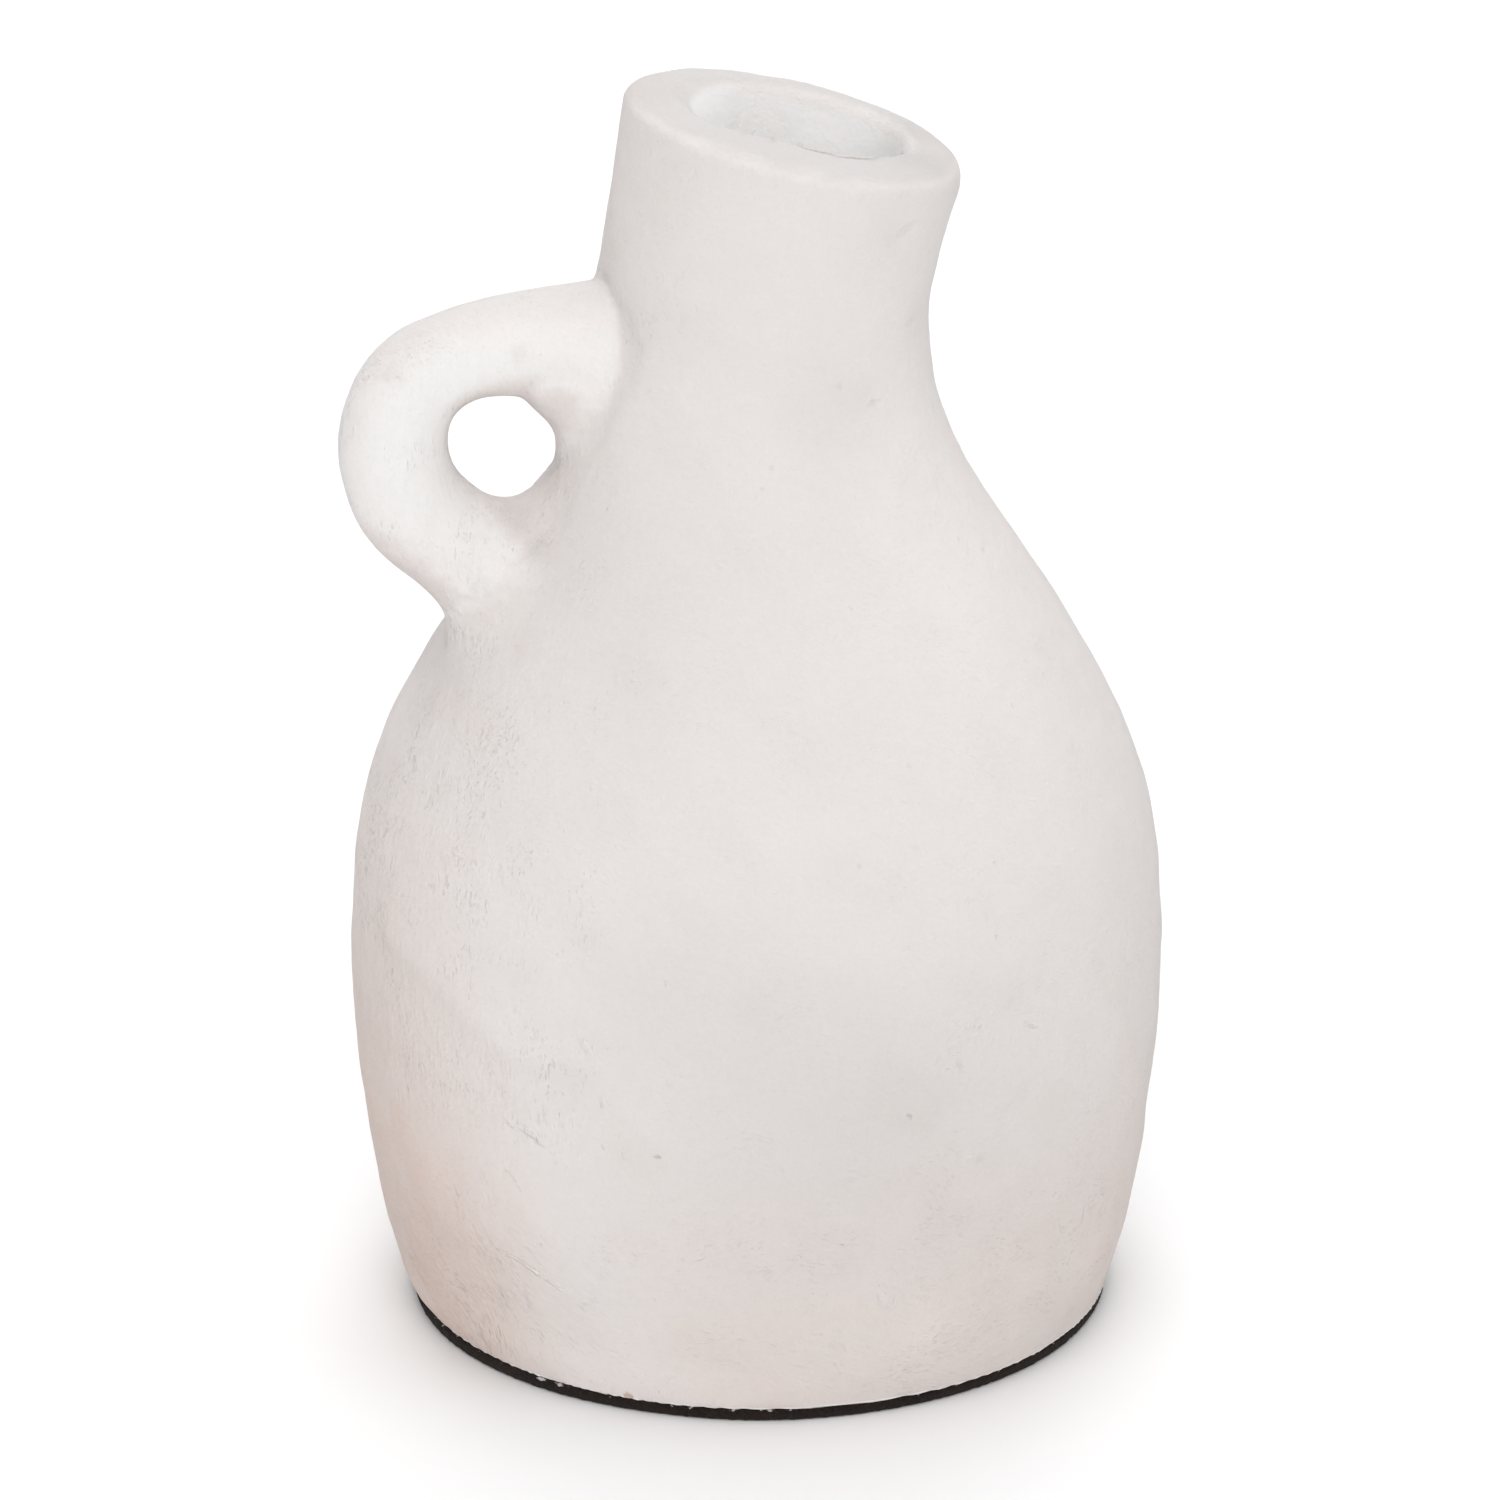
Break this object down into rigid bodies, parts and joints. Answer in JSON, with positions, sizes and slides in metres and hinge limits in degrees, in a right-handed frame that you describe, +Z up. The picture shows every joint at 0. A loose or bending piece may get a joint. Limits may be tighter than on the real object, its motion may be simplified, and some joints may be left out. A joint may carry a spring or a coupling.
{
  "type": "handled terracotta vase",
  "caption": "Matte white limewashed terracotta jug vase with a round belly, a leaning neck, a slanted thick rim, one small loop handle and a dark felt pad under the foot.",
  "frame": {"origin": "on the pot's turning axis, at the underside of the felt pad, which is what it stands on", "axes": "+Z up along the pot's axis, handle towards -X, the neck leans and the rim falls towards +X, -Y towards the picture's side"},
  "size_m": [0.1651, 0.1634, 0.2511],
  "materials": {
    "limewashed_terracotta": "matte limewash brushed over terracotta, fine brush lines and pinholes",
    "dark_felt": "pressed felt"
  },
  "bodies": {
    "root": {"base_pad": "dark_felt", "floor_slab": "limewashed_terracotta", "belly_wall": "limewashed_terracotta", "shoulder_wall": "limewashed_terracotta", "neck_collar": "limewashed_terracotta", "handle": "limewashed_terracotta"}
  },
  "joints": []
}
